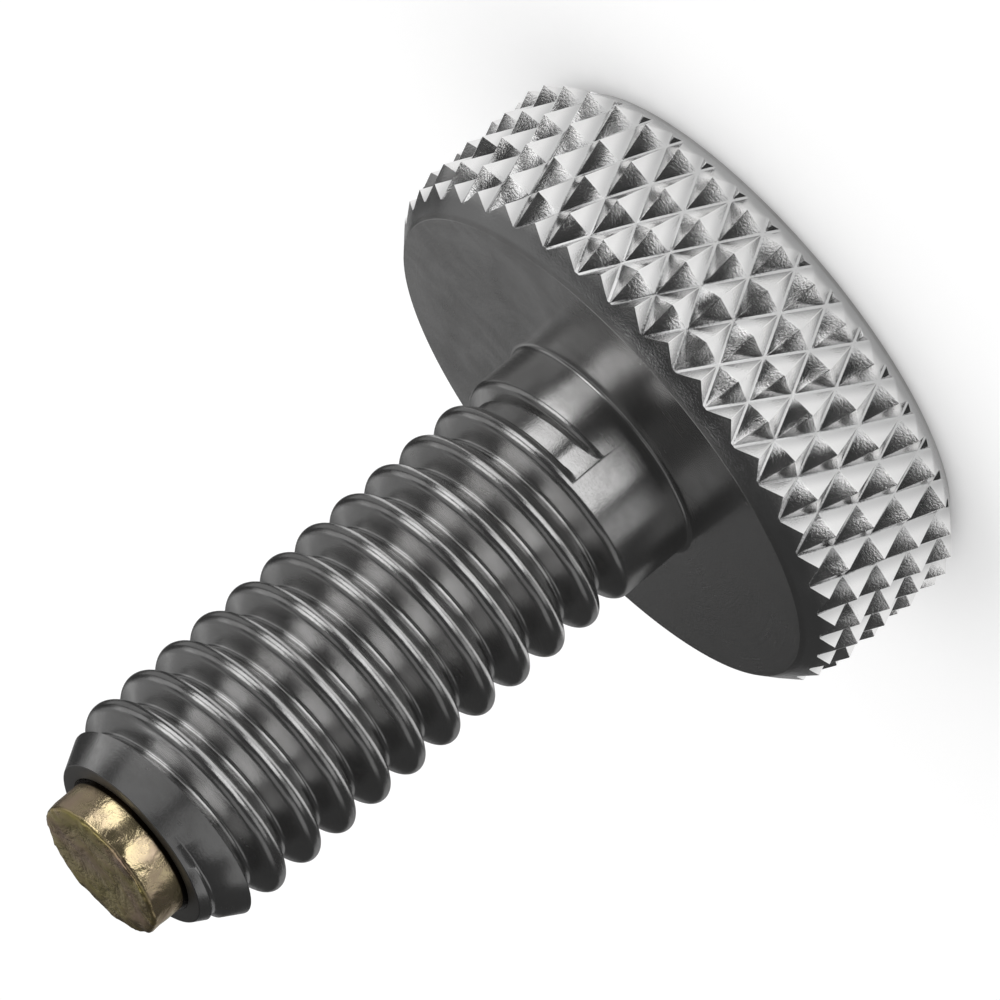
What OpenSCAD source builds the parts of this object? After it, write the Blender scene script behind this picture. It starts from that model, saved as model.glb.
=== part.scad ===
// Knurled thumb screw with a brass tip.
//
// One turned steel piece (knurled head, plain neck, threaded shank) holds a
// brass plug that is pressed into a blind hole in its end. The screw stands
// on its head: the origin is the centre of the flat top of the head, and +Z
// runs along the shank to the brass tip.

/* [Head] */
// Diameter over the points of the knurl
head_d = 19.05; // [15:0.05:28]
// Thickness of the head
head_h = 6.2; // [4.5:0.1:10]
// Width of the bevel round the seat face
seat_bevel = 0.93; // [0.6:0.01:1.4]
// Width of the bevel round the top face
top_bevel_w = 1.0; // [0.6:0.05:1.6]
// Height of the bevel round the top face
top_bevel_h = 0.9; // [0.5:0.05:1.4]

/* [Knurl] */
// Number of diamonds round the head
knurl_teeth = 40; // [24:1:60]
// Angle between the knurl grooves and the axis
knurl_angle = 31; // [20:1:45]
// Depth of the knurl grooves
knurl_depth = 0.55; // [0.2:0.05:0.8]
// Distance from the seat face to the first row where grooves cross
knurl_offset = 0.34; // [0:0.02:1.2]
// Turn of the knurl about the axis
knurl_turn = 2.25; // [0:0.25:9]

/* [Shank] */
// Length of the steel shank, from the seat face to its end
shank_len = 19.05; // [12:0.05:40]
// Radius of the fillet between the neck and the seat face
neck_fillet_r = 0.15; // [0.05:0.05:0.5]
// Diameter of the flat steel end
end_d = 5.9; // [5.1:0.05:6.2]
// Length of the lead-in bevel at the steel end
lead_len = 1.55; // [0.5:0.05:2]

/* [Thread] */
// Diameter over the thread crests
thread_d = 7.62; // [7.1:0.01:9]
// Distance from one turn to the next
thread_pitch = 1.4111; // [1.2:0.0001:1.6]
// Width of the flat crests
crest_w = 0.4; // [0.2:0.01:0.5]
// Width of the flat groove bottom
root_w = 0.18; // [0.05:0.01:0.3]
// Angle between the two sides of the groove
thread_angle = 60; // [55:1:65]
// Distance from the seat face to the middle of the groove where it ends
neck_len = 1.94; // [1.2:0.02:5]

/* [Thread run-out] */
// Share of a turn over which the groove gets shallow
runout_turns = 0.4; // [0.2:0.05:0.9]
// Depth of the groove just before it ends
runout_depth = 0.32; // [0.1:0.02:0.5]
// Width of the flat bottom just before the groove ends
runout_w = 0.7; // [0.3:0.05:0.8]
// Angle round the shank of the ramp that ends the groove
ramp_angle = 14; // [8:1:30]

/* [Brass tip] */
// Diameter of the brass plug and of its hole
tip_d = 4.76; // [3:0.01:4.8]
// Length of the plug that stands out of the steel
tip_proud = 1.3; // [0.5:0.05:3]
// Length of the plug inside the steel
tip_seat = 4.5; // [2:0.1:8]
// Radius of the rounded edge of the plug
tip_edge_r = 0.15; // [0.05:0.05:0.4]
// Width of the bevel at the mouth of the hole
mouth_bevel = 0.1; // [0.02:0.02:0.14]
// Angle of the point that the drill left under the plug
drill_angle = 118; // [90:1:140]

/* [Hidden] */

// Smoothness of the true curves, and flat steps in one turn of the groove
round_fn = 96;
turn_steps = 36;
// How far a cutting shape reaches past the surface that it cuts
reach = 0.2;

head_r = head_d / 2;
shank_r = thread_d / 2;
end_r = end_d / 2;
tip_r = tip_d / 2;
seat_z = head_h;
end_z = seat_z + shank_len;
face_z = end_z + tip_proud;
hole_z = end_z - tip_seat;
point_z = hole_z - tip_r / tan(drill_angle / 2);

// The knurl is a grid of rows. Each row turns by one step from the last.
knurl_step = 180 / knurl_teeth;
knurl_row = PI * head_d / knurl_teeth / 2 / tan(knurl_angle);
valley_r = head_r - knurl_depth;
rows_below = ceil((head_h - knurl_offset) / knurl_row) + 1;
rows_above = ceil(knurl_offset / knurl_row) + 1;

// The groove runs from its shallow end at the neck to past the steel end
flank_slope = tan(thread_angle / 2);
groove_half = (thread_pitch - crest_w) / 2;
thread_depth = (groove_half - root_w / 2) / flank_slope;
groove_z = seat_z + neck_len;
groove_turns = (shank_len - neck_len) / thread_pitch + 1;
// Direction in which the groove ends, measured round from +X
groove_angle = -96;
ramp_turns = ramp_angle / 360;
mouth_r = shank_r + reach;
mouth_half = groove_half + reach * flank_slope;

function polar(r, angle, z) = [r * cos(angle), r * sin(angle), z];
function share(from, to, t) = from + (to - from) * min(1, max(0, t));

// Head with its two bevels; its wall stays outside the knurl, which shapes it
module head_blank() {
    wall_r = head_r + reach;
    rotate_extrude($fn = round_fn)
        polygon([
            [0, 0],
            [head_r - top_bevel_w, 0],
            [wall_r, top_bevel_h * (1 + reach / top_bevel_w)],
            [wall_r, seat_z - seat_bevel - reach],
            [head_r - seat_bevel, seat_z],
            [0, seat_z]
        ]);
}

module shank_blank() {
    rotate_extrude($fn = round_fn)
        polygon([
            [0, seat_z / 2],
            [shank_r, seat_z / 2],
            [shank_r, end_z - lead_len],
            [end_r, end_z],
            [0, end_z]
        ]);
}

// Small fillet where the neck meets the seat face
module neck_fillet() {
    rotate_extrude($fn = round_fn)
        difference() {
            translate([shank_r - reach, seat_z - reach])
                square(neck_fillet_r + reach);
            translate([shank_r + neck_fillet_r, seat_z + neck_fillet_r])
                circle(r = neck_fillet_r, $fn = round_fn);
        }
}

// A point of the knurl: groove crossings and pyramid points take turns
function is_crossing(row, m) = (row + m + rows_below) % 2 == 0;
function knurl_point(row, m) = polar(
    is_crossing(row, m) ? valley_r : head_r,
    m * knurl_step + knurl_turn,
    seat_z - knurl_offset + (row - rows_below) * knurl_row);

// Bar with a diamond knurl: two sets of grooves leave sharp pyramids
module knurled_bar() {
    rows = rows_below + rows_above;
    around = 2 * knurl_teeth;
    points = [
        for (row = [0 : rows], m = [0 : around - 1]) knurl_point(row, m)
    ];
    function id(row, m) = row * around + m % around;
    sides = [
        for (row = [0 : rows - 1], m = [0 : around - 1])
            let (
                a = id(row, m),
                b = id(row, m + 1),
                c = id(row + 1, m + 1),
                d = id(row + 1, m)
            )
            each is_crossing(row, m)
                ? [[a, c, b], [a, d, c]]
                : [[a, d, b], [b, d, c]]
    ];
    bottom = [for (m = [0 : around - 1]) id(0, m)];
    top = [for (m = [around - 1 : -1 : 0]) id(rows, m)];
    polyhedron(points, concat(sides, [bottom, top]));
}

// Floor of the groove, t turns from its end: it ramps down from the surface
// and then deepens to the full thread while its flat bottom gets narrow
function floor_r(t) = shank_r - (t < ramp_turns
    ? share(-reach / 4, runout_depth, t / ramp_turns)
    : share(runout_depth, thread_depth, (t - ramp_turns) / runout_turns));
function floor_w(t) =
    share(runout_w, root_w, (t - ramp_turns) / runout_turns);
function groove_section(t) = let (
        angle = groove_angle + 360 * t,
        z = groove_z + thread_pitch * t
    ) [
        polar(floor_r(t), angle, z - floor_w(t) / 2),
        polar(floor_r(t), angle, z + floor_w(t) / 2),
        polar(mouth_r, angle, z + mouth_half),
        polar(mouth_r, angle, z - mouth_half)
    ];

// Cutter for the right-hand thread: one closed sweep along the helix
module thread_groove() {
    steps = ceil(groove_turns * turn_steps);
    places = concat([0], [for (i = [0 : steps]) ramp_turns + i / turn_steps]);
    last = len(places) - 1;
    points = [for (t = places) each groove_section(t)];
    sides = [
        for (i = [0 : last - 1], k = [0 : 3])
            let (
                a = 4 * i + k,
                b = 4 * i + (k + 1) % 4,
                c = b + 4,
                d = a + 4
            )
            each [[a, c, b], [a, d, c]]
    ];
    start = [[0, 1, 2, 3]];
    finish = [[for (k = [3 : -1 : 0]) 4 * last + k]];
    polyhedron(points, concat(sides, start, finish));
}

// Blind hole for the plug, with a beveled mouth and the drill's point
module tip_hole() {
    rotate_extrude($fn = round_fn)
        polygon([
            [0, point_z],
            [tip_r, hole_z],
            [tip_r, end_z - mouth_bevel],
            [tip_r + mouth_bevel, end_z],
            [tip_r + mouth_bevel, end_z + reach],
            [0, end_z + reach]
        ]);
}

// Turned steel screw: knurled head, neck and thread in one piece
module screw_body() {
    color([0.36, 0.37, 0.38])
        difference() {
            union() {
                intersection() {
                    head_blank();
                    knurled_bar();
                }
                shank_blank();
                neck_fillet();
            }
            thread_groove();
            tip_hole();
        }
}

// Brass plug pressed into the end, its outer edge rounded
module brass_tip() {
    color([0.71, 0.6, 0.36])
        rotate_extrude($fn = round_fn) {
            translate([0, hole_z])
                square([tip_r, face_z - tip_edge_r - hole_z]);
            translate([0, face_z - 2 * tip_edge_r])
                square([tip_r - tip_edge_r, 2 * tip_edge_r]);
            intersection() {
                translate([tip_r - tip_edge_r, face_z - tip_edge_r])
                    circle(r = tip_edge_r, $fn = round_fn);
                translate([0, face_z - 2 * tip_edge_r])
                    square([tip_r, 2 * tip_edge_r]);
            }
        }
}

screw_body();
brass_tip();
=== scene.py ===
# %% [markdown]
# # A knurled thumb screw with a brass tip
#
# The real screw is turned from steel bar. Its head is knurled so that fingers
# grip it, a thread runs up to a short plain neck, and a brass plug is pressed
# into a hole in its end, so that it clamps without leaving a mark. The engineer's
# model gives the size and place of both parts. Here each part is modelled again
# with finer edges and gets the finish of real metal.

import math

import bpy
from mathutils import Matrix, Vector


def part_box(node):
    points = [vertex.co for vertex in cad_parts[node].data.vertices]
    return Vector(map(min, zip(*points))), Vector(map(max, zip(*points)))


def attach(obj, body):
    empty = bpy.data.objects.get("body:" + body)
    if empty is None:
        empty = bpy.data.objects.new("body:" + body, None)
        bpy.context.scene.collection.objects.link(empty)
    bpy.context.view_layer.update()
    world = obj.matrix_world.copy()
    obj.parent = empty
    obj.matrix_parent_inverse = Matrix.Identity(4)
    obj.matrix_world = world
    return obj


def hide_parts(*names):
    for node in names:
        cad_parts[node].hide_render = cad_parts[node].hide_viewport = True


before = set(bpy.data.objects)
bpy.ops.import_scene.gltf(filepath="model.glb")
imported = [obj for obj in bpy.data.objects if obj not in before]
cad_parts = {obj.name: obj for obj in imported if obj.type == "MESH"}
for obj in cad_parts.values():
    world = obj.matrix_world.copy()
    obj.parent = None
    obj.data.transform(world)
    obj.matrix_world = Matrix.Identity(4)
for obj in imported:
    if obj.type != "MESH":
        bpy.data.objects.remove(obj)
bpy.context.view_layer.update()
print("nodes:", sorted(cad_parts))

# %% [markdown]
# The work is done in millimetres, because Blender's tools merge and weld at
# distances that are coarse for a screw of this size in metres. Each finished
# piece is scaled to metres at the end. Sizes that the engineer's model holds are
# read from it; the knurl and the thread repeat the values it was made from.

# %% Sizes in millimetres
MM = 0.001
body_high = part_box("screw_body")[1]
tip_low, tip_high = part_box("brass_tip")

head_r = 9.525
head_h = 6.2
seat_bevel = 0.93
top_bevel_w = 1.0
top_bevel_h = 0.9
shank_r = 3.81
end_z = body_high.z / MM
end_r = 2.95
lead_len = 1.55
neck_fillet_r = 0.15
tip_r = tip_high.x / MM
tip_top = tip_high.z / MM
tip_foot = tip_low.z / MM
mouth_bevel = 0.1
drill_half_angle = math.radians(118 / 2)
print(f"steel end at {end_z:.2f} mm, brass from {tip_foot:.2f} to {tip_top:.2f} mm")


# %% [markdown]
# A turned part is a half outline swept once round its axis, as on a lathe. A
# helper traces the outline by extruding a single point from corner to corner, and
# a second one rounds the corners that a real tool leaves slightly soft.

# %% Helpers for turned parts
SEGMENTS = 144
WELD = 0.0005
SMOOTH_BELOW = math.radians(35)


def share(start, finish, part):
    """A value on the way from start to finish."""
    return start + (finish - start) * min(1, max(0, part))


def deselect_all():
    """Leaves edit mode, with nothing selected."""
    if bpy.context.object and bpy.context.object.mode != "OBJECT":
        bpy.ops.object.mode_set(mode="OBJECT")
    bpy.ops.object.select_all(action="DESELECT")


def rounded(before, corner, after, radius, steps=3):
    """Points of a small arc that replaces a corner of the outline."""
    corner = Vector(corner)
    to_before = (Vector(before) - corner).normalized()
    to_after = (Vector(after) - corner).normalized()
    half = to_before.angle(to_after) / 2
    centre = corner + (to_before + to_after).normalized() * radius / math.sin(half)
    start = corner + to_before * radius / math.tan(half) - centre
    finish = corner + to_after * radius / math.tan(half) - centre
    arc = [start.slerp(finish, i / steps) for i in range(steps + 1)]
    return [tuple(centre + radius * direction) for direction in arc]


def trace_outline(name, points):
    """A new object that is one line of edges through (radius, height) points."""
    deselect_all()
    bpy.ops.mesh.primitive_plane_add(size=1)
    piece = bpy.context.object
    piece.name = name
    piece.data.name = name
    bpy.ops.object.mode_set(mode="EDIT")
    bpy.ops.mesh.select_mode(type="VERT")
    bpy.ops.mesh.merge(type="CENTER")
    bpy.ops.transform.translate(value=(points[0][0], 0, points[0][1]))
    for (r0, z0), (r1, z1) in zip(points, points[1:]):
        step = (r1 - r0, 0, z1 - z0)
        bpy.ops.mesh.extrude_region_move(TRANSFORM_OT_translate={"value": step})
    return piece


def turn(piece):
    """Sweeps the outline once round the axis and closes the seam and the poles."""
    bpy.ops.mesh.select_all(action="SELECT")
    bpy.ops.mesh.spin(steps=SEGMENTS, angle=math.tau, axis=(0, 0, 1), center=(0, 0, 0))
    bpy.ops.mesh.select_all(action="SELECT")
    bpy.ops.mesh.remove_doubles(threshold=WELD)
    bpy.ops.mesh.normals_make_consistent(inside=False)
    bpy.ops.object.mode_set(mode="OBJECT")
    return piece


print("a full turn has", SEGMENTS, "steps")

# %% [markdown]
# The whole steel body is one outline: up over the head's top bevel, in along the
# seat face, up the neck and shank, over the lead-in bevel, and down into the
# blind hole for the plug. The head's wall is left larger than the finished knurl,
# because the knurl itself is cut out of it in a later step.

# %% Outline of the steel body
SPARE = 0.2
EDGE_R = 0.05
wall_r = head_r + SPARE
top_edge = (head_r - top_bevel_w, 0)
wall_bottom = (wall_r, top_bevel_h * (1 + SPARE / top_bevel_w))
wall_top = (wall_r, head_h - seat_bevel - SPARE)
seat_edge = (head_r - seat_bevel, head_h)
neck_foot = (shank_r, head_h)
lead_start = (shank_r, end_z - lead_len)
end_edge = (end_r, end_z)
mouth_edge = (tip_r + mouth_bevel, end_z)
hole_wall = (tip_r, end_z - mouth_bevel)
hole_foot = (tip_r, tip_foot)
hole_point = (0, tip_foot - tip_r / math.tan(drill_half_angle))

body_outline = [
    (0, 0),
    *rounded((0, 0), top_edge, wall_bottom, EDGE_R),
    wall_bottom,
    wall_top,
    *rounded(wall_top, seat_edge, neck_foot, EDGE_R),
    *rounded(seat_edge, neck_foot, lead_start, neck_fillet_r, steps=5),
    *rounded(neck_foot, lead_start, end_edge, EDGE_R),
    *rounded(lead_start, end_edge, mouth_edge, EDGE_R),
    mouth_edge,
    hole_wall,
    hole_foot,
    hole_point,
]
body = turn(trace_outline("steel_screw", body_outline))
print("turned blank:", len(body.data.polygons), "faces")

# %% [markdown]
# A knurling wheel leaves two sets of slanted grooves, and pyramids where they
# cross. The tool for it is a ring whose inner wall is a grid: every second corner
# of the grid is pulled in towards the axis, where two grooves cross, and the rest
# stay out as the points of the pyramids. Each square is split between its two
# crossings, so that the splits become the straight bottoms of the grooves.

# %% Knurling ring
KNURL_TEETH = 40
KNURL_ANGLE = math.radians(31)
KNURL_DEPTH = 0.55
KNURL_OFFSET = 0.34
KNURL_TURN = math.radians(2.25)
VALLEY_FLAT = 0.055
RIDGE_SHARE = 0.3
knurl_step = math.pi / KNURL_TEETH
knurl_row = head_r * knurl_step / math.tan(KNURL_ANGLE)
rows_below = math.ceil((head_h - KNURL_OFFSET) / knurl_row) + 1
rows_above = math.ceil(KNURL_OFFSET / knurl_row) + 1
ring_foot = head_h - KNURL_OFFSET - rows_below * knurl_row
ring_rows = rows_below + rows_above
ring_outer_r = 1.4 * head_r


def select_points(piece, wanted):
    """Selects the corners of a mesh for which wanted(place) is true."""
    bpy.ops.object.mode_set(mode="OBJECT")
    mesh = piece.data
    for group in (mesh.polygons, mesh.edges):
        group.foreach_set("select", [False] * len(group))
    for corner in mesh.vertices:
        corner.select = wanted(corner.co)
    bpy.ops.object.mode_set(mode="EDIT")
    bpy.ops.mesh.select_mode(type="VERT")


def row_of(place):
    """The row of the grid that a corner lies in, counted from below."""
    return round((place.z - ring_foot) / knurl_row)


def is_crossing(place):
    """True where two grooves cross, false at the point of a pyramid."""
    column = round((math.atan2(place.y, place.x) - KNURL_TURN) / knurl_step)
    return (row_of(place) + column + rows_below) % 2 == 0


def is_inside(place):
    """True on the inner wall of the ring, which is the one that cuts."""
    return place.to_2d().length < (head_r + ring_outer_r) / 2


deselect_all()
bpy.ops.mesh.primitive_cylinder_add(
    vertices=2 * KNURL_TEETH,
    radius=head_r,
    depth=knurl_row,
    end_fill_type="NOTHING",
    location=(0, 0, ring_foot + knurl_row / 2),
    rotation=(0, 0, KNURL_TURN),
)
knurl_ring = bpy.context.object
knurl_ring.name = "knurl_ring"
bpy.ops.object.transform_apply(location=True, rotation=True, scale=True)
for row in range(1, ring_rows):
    select_points(knurl_ring, lambda place: row_of(place) == row)
    bpy.ops.mesh.extrude_region_move(
        TRANSFORM_OT_translate={"value": (0, 0, knurl_row)}
    )
select_points(knurl_ring, is_crossing)
bpy.ops.mesh.vert_connect()
pull = 1 - KNURL_DEPTH / head_r
bpy.ops.transform.resize(value=(pull, pull, 1), center_override=(0, 0, 0))

# %% [markdown]
# The grid now gets an outer wall, which makes it a closed ring. A real knurling
# wheel is not razor sharp: it leaves flat bottoms in its grooves and slightly
# blunt edges on the pyramids. Both are bevels, wide on the grooves and narrow on
# the rest.

# %% Close and soften the ring
grow = ring_outer_r / head_r
for row in (0, ring_rows):
    select_points(knurl_ring, lambda place: row_of(place) == row)
    bpy.ops.mesh.extrude_region_move(TRANSFORM_OT_translate={"value": (0, 0, 0)})
    bpy.ops.transform.resize(value=(grow, grow, 1), center_override=(0, 0, 0))
select_points(knurl_ring, lambda place: not is_inside(place))
bpy.ops.mesh.bridge_edge_loops()
bpy.ops.mesh.select_all(action="SELECT")
bpy.ops.mesh.normals_make_consistent(inside=False)


def is_on_grid(place):
    """True on the inner wall, away from its two rims."""
    return is_inside(place) and 0 < row_of(place) < ring_rows


def weigh_edges(weight, wanted):
    """Adds to the bevel weight of the edges between wanted corners."""
    select_points(knurl_ring, wanted)
    bpy.ops.mesh.select_mode(type="EDGE")
    bpy.ops.transform.edge_bevelweight(value=weight)


weigh_edges(RIDGE_SHARE, is_on_grid)
weigh_edges(1 - RIDGE_SHARE, lambda place: is_on_grid(place) and is_crossing(place))
bpy.ops.object.mode_set(mode="OBJECT")
bpy.ops.object.modifier_add(type="BEVEL")
softening = knurl_ring.modifiers[-1]
softening.limit_method = "WEIGHT"
softening.width = VALLEY_FLAT
softening.segments = 1
softening.use_clamp_overlap = False
bpy.ops.object.modifier_apply(modifier=softening.name)
print("knurling ring:", len(knurl_ring.data.polygons), "faces")

# %% [markdown]
# A thread is one groove wound round the bar. Its cutter is the section of the
# groove, traced once and swept along a helix by the Screw modifier, turn after
# turn, until it has passed the end of the shank. The thread is rolled, so its
# crests are round: near the surface the section opens out along an arc that ends
# just short of the middle of the crest.

# %% Section and sweep of the thread cutter
PITCH = 1.4111
CREST_W = 0.4
ROOT_W = 0.18
FLANK_ANGLE = math.radians(30)
CREST_STEPS = 7
CREST_GAP = 0.002
ARC_END = math.radians(2)
ROOT_SOFT = 0.06
NECK_LEN = 1.94
GROOVE_END_ANGLE = math.radians(-96)
flank_slope = math.tan(FLANK_ANGLE)
groove_half = (PITCH - CREST_W) / 2
thread_depth = (groove_half - ROOT_W / 2) / flank_slope
root_r = shank_r - thread_depth
groove_end_z = head_h + NECK_LEN
sweep_turns = math.ceil((end_z - groove_end_z) / PITCH + 1)

crest_round = CREST_W / 2 * math.cos(FLANK_ANGLE) / (1 - math.sin(FLANK_ANGLE))
arc_r = crest_round + CREST_GAP
arc_centre_r = shank_r - crest_round
arc_start = math.radians(90) - FLANK_ANGLE
one_side = [(root_r, ROOT_W / 2)]
for i in range(CREST_STEPS + 1):
    angle = share(arc_start, ARC_END, i / CREST_STEPS)
    arc_point_r = arc_centre_r + arc_r * math.cos(angle)
    arc_point_z = PITCH / 2 - arc_r * math.sin(angle)
    one_side.append((arc_point_r, arc_point_z))
one_side.append((shank_r + SPARE, one_side[-1][1]))
other_side = [(r, -half) for r, half in reversed(one_side)]
section = [(r, groove_end_z + z) for r, z in one_side + other_side]
thread_cutter = trace_outline("thread_cutter", section)
bpy.ops.mesh.select_all(action="SELECT")
bpy.ops.mesh.edge_face_add()
select_points(thread_cutter, lambda place: place.x < root_r + ROOT_SOFT / 2)
bpy.ops.mesh.bevel(offset=ROOT_SOFT, segments=2, affect="VERTICES")
bpy.ops.mesh.select_all(action="SELECT")
bpy.ops.transform.rotate(
    value=-GROOVE_END_ANGLE, orient_axis="Z", center_override=(0, 0, 0)
)
bpy.ops.object.mode_set(mode="OBJECT")
print("section of the groove:", len(thread_cutter.data.vertices), "corners")

# %% [markdown]
# The Screw modifier copies the section round the axis and lifts it by one pitch a
# turn, which gives a right-hand thread. The two open ends are then filled, because
# only a closed tool can cut.

# %% Wind the groove
bpy.ops.object.modifier_add(type="SCREW")
winding = thread_cutter.modifiers[-1]
winding.axis = "Z"
winding.angle = math.tau
winding.screw_offset = PITCH
winding.iterations = sweep_turns
winding.steps = SEGMENTS
winding.render_steps = SEGMENTS
winding.use_smooth_shade = False
bpy.ops.object.modifier_apply(modifier=winding.name)
bpy.ops.object.mode_set(mode="EDIT")
bpy.ops.mesh.select_mode(type="VERT")
bpy.ops.mesh.select_all(action="DESELECT")
bpy.ops.mesh.select_non_manifold()
bpy.ops.mesh.edge_face_add()
bpy.ops.mesh.select_all(action="SELECT")
bpy.ops.mesh.normals_make_consistent(inside=False)
bpy.ops.object.mode_set(mode="OBJECT")
print("thread cutter:", sweep_turns, "turns,", len(thread_cutter.data.polygons), "faces")

# %% [markdown]
# Where the thread stops at the neck, the tool is backed out of the bar. Over the
# last part of a turn the groove gets shallow and its bottom gets flat and wide, and
# a short ramp ends it. The corners of the cutter there are moved by a formula of
# how far round they lie, which no single operator does.

# %% Shape the run-out at the neck
RAMP_TURNS = 14 / 360
RUNOUT_TURNS = 0.4
RUNOUT_DEPTH = 0.32
RUNOUT_W = 0.7


def turns_from_end(place):
    """How far along the groove a corner lies, in turns from the neck."""
    angle = math.atan2(place.y, place.x) - GROOVE_END_ANGLE
    part = (angle % math.tau) / math.tau
    return part + round((place.z - groove_end_z) / PITCH - part)


def floor_depth(turns):
    """How deep the groove is there: up the ramp, then down to full depth."""
    if turns < RAMP_TURNS:
        return share(-ROOT_SOFT, RUNOUT_DEPTH, turns / RAMP_TURNS)
    return share(RUNOUT_DEPTH, thread_depth, (turns - RAMP_TURNS) / RUNOUT_TURNS)


for corner in thread_cutter.data.vertices:
    place = corner.co
    turns = turns_from_end(place)
    if turns > RAMP_TURNS + RUNOUT_TURNS:
        continue
    radius = place.to_2d().length
    beside = place.z - groove_end_z - PITCH * turns
    new_radius = max(radius, shank_r - floor_depth(turns))
    if radius < shank_r - thread_depth / 2:
        floor_w = share(RUNOUT_W, ROOT_W, (turns - RAMP_TURNS) / RUNOUT_TURNS)
        beside += math.copysign((floor_w - ROOT_W) / 2, beside)
    outward = new_radius / radius
    height = groove_end_z + PITCH * turns + beside
    corner.co = Vector((place.x * outward, place.y * outward, height))
print("run-out:", RUNOUT_TURNS, "turns")

# %% [markdown]
# Now the blank meets its tools, as on the machine: the knurl first, then the
# thread. Boolean modifiers do the cutting. What is left gets smooth shading, with
# normals weighted by area, so that flat faces stay flat and only the narrow
# softened edges look round.

# %% Cut the knurl and the thread


def pick(piece):
    """Makes a piece the only selected and the active one."""
    deselect_all()
    bpy.context.view_layer.objects.active = piece
    piece.select_set(True)


def cut(piece, tool):
    """Cuts the tool's shape out of the piece and takes the tool away."""
    pick(piece)
    bpy.ops.object.modifier_add(type="BOOLEAN")
    cutting = piece.modifiers[-1]
    cutting.operation = "DIFFERENCE"
    cutting.solver = "MANIFOLD"
    cutting.object = tool
    bpy.ops.object.modifier_apply(modifier=cutting.name)
    bpy.data.objects.remove(tool)


def finish_piece(piece, node):
    """Shades a piece, brings it to metres and lets it stand for its CAD node."""
    pick(piece)
    bpy.ops.object.mode_set(mode="EDIT")
    bpy.ops.mesh.select_all(action="SELECT")
    bpy.ops.mesh.remove_doubles(threshold=WELD)
    bpy.ops.transform.resize(value=(MM, MM, MM), center_override=(0, 0, 0))
    bpy.ops.object.mode_set(mode="OBJECT")
    bpy.ops.object.shade_smooth_by_angle(angle=SMOOTH_BELOW)
    bpy.ops.object.modifier_add(type="WEIGHTED_NORMAL")
    weighting = piece.modifiers[-1]
    weighting.keep_sharp = True
    bpy.ops.object.modifier_apply(modifier=weighting.name)
    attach(piece, "root")
    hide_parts(node)


cut(body, knurl_ring)
cut(body, thread_cutter)
finish_piece(body, "screw_body")
print("steel screw:", len(body.data.polygons), "faces")

# %% [markdown]
# The brass tip is a short piece of rod, faced off flat. Its outer edge is rounded
# and slightly battered, because soft brass burrs when it is pressed on. A Displace
# modifier with a soft noise pushes only the corners near that edge in and out. The
# outline has extra corners beside them, so that the rest stays straight and flat.

# %% Brass tip
TIP_EDGE_R = 0.15
BURR_SIZE = 0.5
BURR_DEPTH = 0.13
BURR_MIDDLE = 0.6
BURR_HEIGHT = 0.5
BURR_WIDTH = 0.2
side_rings = [(tip_r, end_z + 0.3), (tip_r, tip_top - 0.6), (tip_r, tip_top - 0.4)]
face_rings = [(tip_r - 0.3, tip_top), (tip_r - 0.6, tip_top)]
tip_outline = [
    (0, tip_foot),
    (tip_r, tip_foot),
    *side_rings,
    *rounded((tip_r, tip_foot), (tip_r, tip_top), (0, tip_top), TIP_EDGE_R, steps=6),
    *face_rings,
    (0, tip_top),
]
tip = turn(trace_outline("brass_plug", tip_outline))


def is_on_rim(place):
    """True on the part of the plug that burrs."""
    near_top = place.z > tip_top - BURR_HEIGHT
    return near_top and place.to_2d().length > tip_r - BURR_WIDTH


select_points(tip, is_on_rim)
bpy.ops.object.vertex_group_assign_new()
bpy.ops.object.mode_set(mode="OBJECT")
burr_noise = bpy.data.textures.new("burr", "CLOUDS")
burr_noise.noise_scale = BURR_SIZE
bpy.ops.object.modifier_add(type="DISPLACE")
burring = tip.modifiers[-1]
burring.texture = burr_noise
burring.texture_coords = "LOCAL"
burring.vertex_group = tip.vertex_groups[-1].name
burring.strength = BURR_DEPTH
burring.mid_level = BURR_MIDDLE
bpy.ops.object.modifier_apply(modifier=burring.name)
finish_piece(tip, "brass_tip")
print("brass tip:", len(tip.data.polygons), "faces")

# %% [markdown]
# ## Finish of the metal
#
# Bare metal is never one even grey. The turning tool leaves fine rings, handling leaves
# a dull mottled film, and the raised points of the knurl are painted bright, partly as
# wear and partly as a painted highlight. The rings and the film are small node groups
# that both metals share. All of them work in millimetres from the middle of the head's
# top, so that they stay where they are on the part.

# %% Small helpers for node trees


def new_group(name, inputs, outputs):
    """An empty node group with named sockets."""
    group = bpy.data.node_groups.new(name, "ShaderNodeTree")
    for label, kind, value in inputs:
        socket = group.interface.new_socket(label, in_out="INPUT", socket_type=kind)
        if value is not None:
            socket.default_value = value
    for label, kind in outputs:
        group.interface.new_socket(label, in_out="OUTPUT", socket_type=kind)
    return group


def add_node(tree, kind, settings=None, **sockets):
    """Adds a node; a socket is given a value or the output that feeds it."""
    node = tree.nodes.new("ShaderNode" + kind)
    for key, value in (settings or {}).items():
        setattr(node, key, value)
    for key, value in sockets.items():
        plug(tree, node, key, value)
    return node


def plug(tree, node, key, value):
    """Feeds one input, named or numbered, with a value or another output."""
    if key[:2] == "in" and key[2:].isdigit():
        socket = node.inputs[int(key[2:])]
    else:
        socket = node.inputs[key.replace("_", " ")]
    if isinstance(value, bpy.types.NodeSocket):
        tree.links.new(value, socket)
    else:
        socket.default_value = value


def calc(tree, operation, *values):
    """One arithmetic node."""
    sockets = {f"in{i}": value for i, value in enumerate(values)}
    return add_node(tree, "Math", {"operation": operation}, **sockets).outputs[0]


def ramp_between(tree, value, low, high, start=0.0, finish=1.0):
    """Goes smoothly from start to finish while value goes from low to high."""
    node = add_node(
        tree,
        "MapRange",
        {"interpolation_type": "SMOOTHSTEP"},
        Value=value,
        From_Min=low,
        From_Max=high,
        To_Min=start,
        To_Max=finish,
    )
    return node.outputs["Result"]


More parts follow.
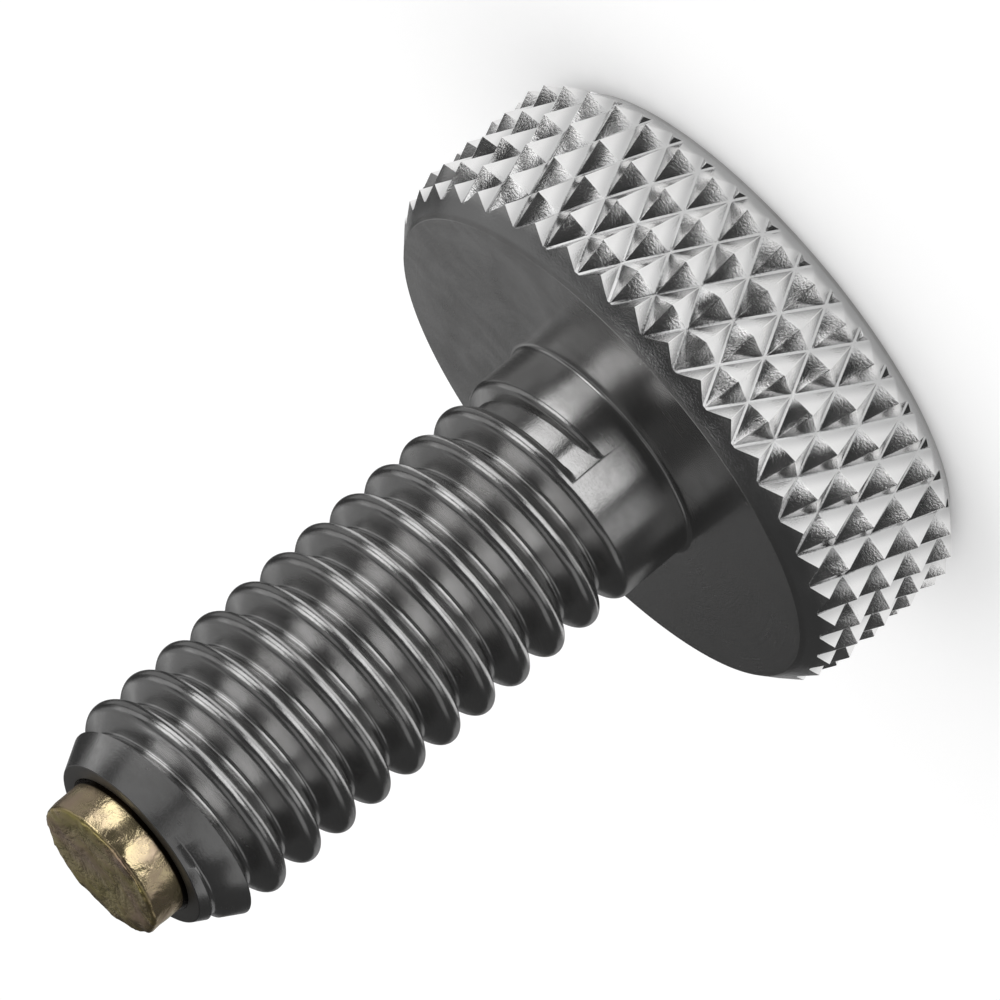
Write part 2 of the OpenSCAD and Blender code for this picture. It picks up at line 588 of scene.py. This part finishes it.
def blend(tree, amount, first, second):
    """Mixes two colours."""
    node = tree.nodes.new("ShaderNodeMix")
    node.data_type = "RGBA"
    plug(tree, node, "in0", amount)
    plug(tree, node, "in6", first)
    plug(tree, node, "in7", second)
    return node.outputs[2]


def grey(value, warm=0.0):
    """A grey that can lean a little towards red."""
    return (value * (1 + warm), value, value * (1 - warm), 1)


print("helpers ready")

# %% [markdown]
# First the place on the part: the distance from the axis, the height above the
# head's top face, and the position in millimetres for the textures.

# %% Node group: place on the part
place_group = new_group(
    "place on the part",
    [("Object", "NodeSocketVector", None)],
    [
        ("Position", "NodeSocketVector"),
        ("Radius", "NodeSocketFloat"),
        ("Height", "NodeSocketFloat"),
    ],
)
group_in = place_group.nodes.new("NodeGroupInput")
group_out = place_group.nodes.new("NodeGroupOutput")
in_mm = add_node(
    place_group, "VectorMath", {"operation": "SCALE"}, in0=group_in.outputs["Object"]
)
in_mm.inputs["Scale"].default_value = 1 / MM
parts = add_node(place_group, "SeparateXYZ", in0=in_mm.outputs[0])
across = calc(place_group, "MULTIPLY", parts.outputs["X"], parts.outputs["X"])
across = calc(
    place_group, "MULTIPLY_ADD", parts.outputs["Y"], parts.outputs["Y"], across
)
plug(place_group, group_out, "Position", in_mm.outputs[0])
plug(place_group, group_out, "Radius", calc(place_group, "SQRT", across))
plug(place_group, group_out, "Height", parts.outputs["Z"])
print("group:", place_group.name)

# %% [markdown]
# The tool marks are rings. A noise with one dimension, fed by radius plus height,
# is a ring pattern on flat faces, on bevels and on the cylinder alike.

# %% Node group: turning marks
marks_group = new_group(
    "turning marks",
    [
        ("Radius", "NodeSocketFloat", None),
        ("Height", "NodeSocketFloat", None),
        ("Per mm", "NodeSocketFloat", 9.0),
    ],
    [("Marks", "NodeSocketFloat")],
)
group_in = marks_group.nodes.new("NodeGroupInput")
group_out = marks_group.nodes.new("NodeGroupOutput")
along = calc(marks_group, "ADD", group_in.outputs["Radius"], group_in.outputs["Height"])
marks = add_node(
    marks_group,
    "TexNoise",
    {"noise_dimensions": "1D"},
    W=calc(marks_group, "MULTIPLY", along, group_in.outputs["Per mm"]),
    Scale=1.0,
    Detail=4.0,
    Roughness=0.7,
)
plug(marks_group, group_out, "Marks", marks.outputs[0])
print("group:", marks_group.name)

# %% [markdown]
# The dull film is a soft cloud of noise. It comes out as a mask from 0, clean, to 1,
# full film. A much finer noise comes out beside it, as grain for the bumps.

# %% Node group: mottled film
film_group = new_group(
    "mottled film",
    [
        ("Position", "NodeSocketVector", None),
        ("Per mm", "NodeSocketFloat", 0.6),
        ("Softness", "NodeSocketFloat", 0.3),
    ],
    [("Film", "NodeSocketFloat"), ("Grain", "NodeSocketFloat")],
)
group_in = film_group.nodes.new("NodeGroupInput")
group_out = film_group.nodes.new("NodeGroupOutput")
cloud = add_node(
    film_group,
    "TexNoise",
    Vector=group_in.outputs["Position"],
    Scale=group_in.outputs["Per mm"],
    Detail=5.0,
    Roughness=0.62,
    Distortion=0.4,
)
low_edge = calc(film_group, "SUBTRACT", 0.5, group_in.outputs["Softness"])
high_edge = calc(film_group, "ADD", 0.5, group_in.outputs["Softness"])
plug(
    film_group,
    group_out,
    "Film",
    ramp_between(film_group, cloud.outputs[0], low_edge, high_edge),
)
grain = add_node(
    film_group,
    "TexNoise",
    Vector=group_in.outputs["Position"],
    Scale=14.0,
    Detail=3.0,
    Roughness=0.6,
)
plug(film_group, group_out, "Grain", grain.outputs[0])
print("group:", film_group.name)

# %% [markdown]
# ## Steel
#
# The steel is dull grey with a dark film. The rolled diamonds of the knurl are painted
# lighter than the rest of the steel and lightest on their raised faces, partly as wear
# and partly as a painted highlight. Their grooves are painted darker than their points,
# and they are a little uneven. The end face round the brass plug is painted dark, a
# painted shade where the plug meets the steel. The tool marks show as faint rings.

# %% Steel


def start_material(name):
    """A new material, with its node tree and its shader."""
    material = bpy.data.materials.new(name)
    material.use_nodes = True
    return material, material.node_tree, material.node_tree.nodes["Principled BSDF"]


def add_group(tree, group, **sockets):
    """Uses a node group in a tree."""
    node = tree.nodes.new("ShaderNodeGroup")
    node.node_tree = group
    for key, value in sockets.items():
        plug(tree, node, key, value)
    return node


steel, tree, shader = start_material("turned steel")
coords = tree.nodes.new("ShaderNodeTexCoord")
place = add_group(tree, place_group, Object=coords.outputs["Object"])
position = place.outputs["Position"]
radius = place.outputs["Radius"]
height = place.outputs["Height"]
marks = add_group(tree, marks_group, Radius=radius, Height=height, Per_mm=9.0)
film = add_group(tree, film_group, Position=position, Per_mm=0.6)

CLEAN = grey(0.56, 0.004)
FILMED = grey(0.44, 0.01)
# The knurl is painted lighter than the plain steel and lightest on its raised points:
# partly wear, partly a painted highlight. Its grooves are painted darker than its
# points.
KNURL_GROOVE_GREY = grey(0.6)
WORN_POINTS_AND_SHEEN = grey(0.85, 0.005)
# The end face round the plug is painted dark: a painted shade where the plug meets the
# steel.
END_PAINTED_SHADE = grey(0.2, 0.02)
on_knurl = ramp_between(tree, radius, 8.66, 8.76)
# Mask of the knurl's raised points, for their wear and their painted highlight.
points_wear_and_sheen = ramp_between(tree, radius, 9.0, 9.3)
# Mask of the end face, for its painted shade and its rougher finish.
on_end = ramp_between(tree, height, end_z - 0.03, end_z - 0.005)

plain_steel = blend(tree, film.outputs["Film"], CLEAN, FILMED)
knurl_steel = blend(tree, points_wear_and_sheen, KNURL_GROOVE_GREY, WORN_POINTS_AND_SHEEN)
colour = blend(tree, on_knurl, plain_steel, knurl_steel)
colour = blend(tree, on_end, colour, END_PAINTED_SHADE)
plug(tree, shader, "Base Color", colour)
shader.inputs["Metallic"].default_value = 1.0

CLEAN_ROUGH = 0.17
FILMED_ROUGH = 0.24
MARKS_ROUGHER = 0.06
KNURL_ROUGHER = -0.08
END_ROUGHER = 0.25
rough = ramp_between(
    tree, film.outputs["Film"], 0.0, 1.0, CLEAN_ROUGH, FILMED_ROUGH
)
rough = calc(tree, "MULTIPLY_ADD", marks.outputs["Marks"], MARKS_ROUGHER, rough)
rough = calc(tree, "MULTIPLY_ADD", on_knurl, KNURL_ROUGHER, rough)
rough = calc(tree, "MULTIPLY_ADD", on_end, END_ROUGHER, rough)
plug(tree, shader, "Roughness", rough)

ring_bump = add_node(
    tree,
    "Bump",
    Height=marks.outputs["Marks"],
    Strength=0.35,
    Distance=0.004 * MM,
)
grain_bump = add_node(
    tree,
    "Bump",
    Height=film.outputs["Grain"],
    Normal=ring_bump.outputs[0],
    Strength=calc(tree, "MULTIPLY_ADD", on_knurl, 0.4, 0.4),
    Distance=0.008 * MM,
)
plug(tree, shader, "Normal", grain_bump.outputs[0])
body.data.materials.clear()
body.data.materials.append(steel)
print("material:", steel.name)

# %% [markdown]
# ## Brass
#
# The brass plug is bright under a thin uneven tarnish. Its flat end, which is pressed
# against other parts, is olive with a purple tint where fingers have marked it. Its side
# goes from yellow to a pinkish tan, and next to the steel it is painted almost black: a
# painted shade in the gap where it meets the steel.

# %% Brass
brass, tree, shader = start_material("tarnished brass")
coords = tree.nodes.new("ShaderNodeTexCoord")
place = add_group(tree, place_group, Object=coords.outputs["Object"])
position = place.outputs["Position"]
radius = place.outputs["Radius"]
height = place.outputs["Height"]
marks = add_group(tree, marks_group, Radius=radius, Height=height, Per_mm=12.0)
film = add_group(tree, film_group, Position=position, Per_mm=0.4, Softness=0.24)
spots = add_group(tree, film_group, Position=position, Per_mm=0.9, Softness=0.24)

on_end = ramp_between(tree, height, tip_top - 0.16, tip_top - 0.02)
# The brass side next to the steel is painted almost black: painted shade in the gap
# between the plug and the steel.
gap_shade_mask = ramp_between(tree, height, end_z + 0.17, end_z + 0.1)
OLIVE = (0.66, 0.58, 0.17, 1)
PURPLE = (0.68, 0.47, 0.36, 1)
TAN = (0.86, 0.66, 0.48, 1)
YELLOW = (0.95, 0.8, 0.46, 1)
GAP_PAINTED_SHADE = (0.03, 0.02, 0.01, 1)
end_colour = blend(tree, film.outputs["Film"], OLIVE, PURPLE)
side_colour = blend(tree, spots.outputs["Film"], YELLOW, TAN)
colour = blend(tree, on_end, side_colour, end_colour)
colour = blend(tree, gap_shade_mask, colour, GAP_PAINTED_SHADE)
plug(tree, shader, "Base Color", colour)
shader.inputs["Metallic"].default_value = 1.0
rough = ramp_between(tree, spots.outputs["Film"], 0.0, 1.0, 0.2, 0.34)
plug(tree, shader, "Roughness", rough)
ring_bump = add_node(
    tree, "Bump", Height=marks.outputs["Marks"], Strength=0.25, Distance=0.005 * MM
)
dent_bump = add_node(
    tree,
    "Bump",
    Height=spots.outputs["Film"],
    Normal=ring_bump.outputs[0],
    Strength=0.3,
    Distance=0.08 * MM,
)
plug(tree, shader, "Normal", dent_bump.outputs[0])
tip.data.materials.clear()
tip.data.materials.append(brass)
print("material:", brass.name)

# %% [markdown]
# ## Floor, room and lamps
#
# The screw stands on its head on a plain white table. The camera sees the table and
# the room as white. The metal sees a white patch of table close by and a dim
# room further off, which gives it dark sides and keeps its shape readable.

# %% Floor
deselect_all()
TABLE_R = 0.4
bpy.ops.mesh.primitive_circle_add(vertices=96, radius=TABLE_R, fill_type="NGON")
floor = bpy.context.object
floor.name = "table"
floor_look, tree, shader = start_material("white table")
shader.inputs["Base Color"].default_value = (0.9, 0.9, 0.9, 1)
shader.inputs["Roughness"].default_value = 0.9
shader.inputs["Specular IOR Level"].default_value = 0.2
coords = tree.nodes.new("ShaderNodeTexCoord")
light_path = tree.nodes.new("ShaderNodeLightPath")
place = add_group(tree, place_group, Object=coords.outputs["Object"])
FADE_FROM = 18.0
FADE_TO = 26.0
GLOW_SEEN = 0.2
GLOW_IN_METAL = 0.15
fade = ramp_between(tree, place.outputs["Radius"], FADE_FROM, FADE_TO, 1.0, 0.0)
seen = light_path.outputs["Is Camera Ray"]
glossy = light_path.outputs["Is Glossy Ray"]
glow = calc(tree, "MULTIPLY", seen, GLOW_SEEN)
glow = calc(tree, "MULTIPLY_ADD", glossy, GLOW_IN_METAL, glow)
plug(tree, shader, "Alpha", calc(tree, "MAXIMUM", fade, seen))
shader.inputs["Emission Color"].default_value = (1, 1, 1, 1)
plug(tree, shader, "Emission Strength", glow)
floor.data.materials.append(floor_look)
print("table:", floor.name)

# %% Room
world = bpy.data.worlds.new("studio")
bpy.context.scene.world = world
world.use_nodes = True
tree = world.node_tree
light_path = tree.nodes.new("ShaderNodeLightPath")
ROOM_LIGHT = 0.8
ROOM_IN_METAL = 0.05
seen = light_path.outputs["Is Camera Ray"]
glossy = light_path.outputs["Is Glossy Ray"]
strength = calc(tree, "MULTIPLY_ADD", glossy, ROOM_IN_METAL - ROOM_LIGHT, ROOM_LIGHT)
plug(tree, tree.nodes["Background"], "Strength", calc(tree, "MAXIMUM", strength, seen))
tree.nodes["Background"].inputs["Color"].default_value = (1, 1, 1, 1)
print("room:", world.name)

# %% [markdown]
# Soft lamps stand a quarter of a metre away. Three strong ones, at the front right
# and low at the front, draw the bright patch on the neck and the thin lines on the
# crests and roots. The wide dim ones fill the flanks, the cone and the knurl. The
# low lamps shine up past the edge of the table's white patch.

# %% Lamps
LAMP_DISTANCE = 0.25
LAMP_AIM = 13
middle = Vector((0, 0, LAMP_AIM * MM))


def softbox(name, azimuth, elevation, width, tall, watts):
    """An area lamp that faces the part; azimuth 0 is the camera's side."""
    turned = math.radians(azimuth)
    raised = math.radians(elevation)
    towards = Vector(
        (
            math.sin(turned) * math.cos(raised),
            -math.cos(turned) * math.cos(raised),
            math.sin(raised),
        )
    )
    deselect_all()
    bpy.ops.object.light_add(type="AREA", location=middle + towards * LAMP_DISTANCE)
    lamp = bpy.context.object
    lamp.name = name
    lamp.rotation_euler = towards.to_track_quat("Z", "Y").to_euler()
    lamp.data.shape = "RECTANGLE"
    lamp.data.size = width
    lamp.data.size_y = tall
    lamp.data.energy = watts
    lamp.visible_camera = False


# name, azimuth, elevation, width and height in metres, watts
LAMPS = [
    ("top lamp", 170, 78, 0.18, 0.18, 0.041),
    ("key lamp", 52, 17, 0.13, 0.1, 0.06),
    ("low key lamp", 52, -17, 0.15, 0.1, 0.065),
    ("low front lamp", -18, -17, 0.2, 0.1, 0.078),
    ("floor lamp", 6, -41, 0.2, 0.12, 0.06),
    ("low left lamp", -65, -17, 0.12, 0.1, 0.016),
    ("low right lamp", 115, -17, 0.25, 0.12, 0.017),
    ("right lamp", 100, 17, 0.2, 0.12, 0.024),
    ("left lamp", -90, 22, 0.2, 0.1, 0.014),
    ("high right lamp", 45, 45, 0.25, 0.12, 0.016),
    ("high left lamp", -45, 43, 0.25, 0.12, 0.017),
    ("right back lamp", 140, 45, 0.26, 0.3, 0.042),
    ("back lamp", 166, 17, 0.12, 0.12, 0.009),
    ("low back lamp", -165, -17, 0.3, 0.12, 0.025),
]
for lamp_row in LAMPS:
    softbox(*lamp_row)

# %% [markdown]
# The camera looks down at the standing screw and is rolled, so that the screw lies
# slantwise across the picture with its head at the upper right. It aims at the
# middle of the seat face, shifted by a few millimetres.

# %% Camera
ELEVATION = math.radians(17.38)
ROLL = math.radians(130.13)
FIELD = 29.67 * MM
CAMERA_DISTANCE = 1.3
SENSOR = 36
AIM_RIGHT = -3.005
AIM_UP = -1.548
backward = Vector((0, -math.cos(ELEVATION), math.sin(ELEVATION)))
level_up = Vector((0, math.sin(ELEVATION), math.cos(ELEVATION)))
level_right = Vector((1, 0, 0))
cam_right = level_right * math.cos(ROLL) - level_up * math.sin(ROLL)
cam_up = level_right * math.sin(ROLL) + level_up * math.cos(ROLL)
seat_middle = Vector((0, 0, head_h * MM))
aim = seat_middle + cam_right * AIM_RIGHT * MM + cam_up * AIM_UP * MM
bpy.ops.object.camera_add(location=aim + backward * CAMERA_DISTANCE)
camera = bpy.context.object
camera.rotation_euler = (
    Matrix((cam_right, cam_up, backward)).transposed().to_euler()
)
camera.data.sensor_width = SENSOR
camera.data.lens = SENSOR * CAMERA_DISTANCE / FIELD
camera.data.clip_start = 0.1
camera.data.clip_end = 10
bpy.context.scene.camera = camera
bpy.context.scene.view_settings.view_transform = "Standard"
print(f"camera: {camera.data.lens:.0f} mm lens")
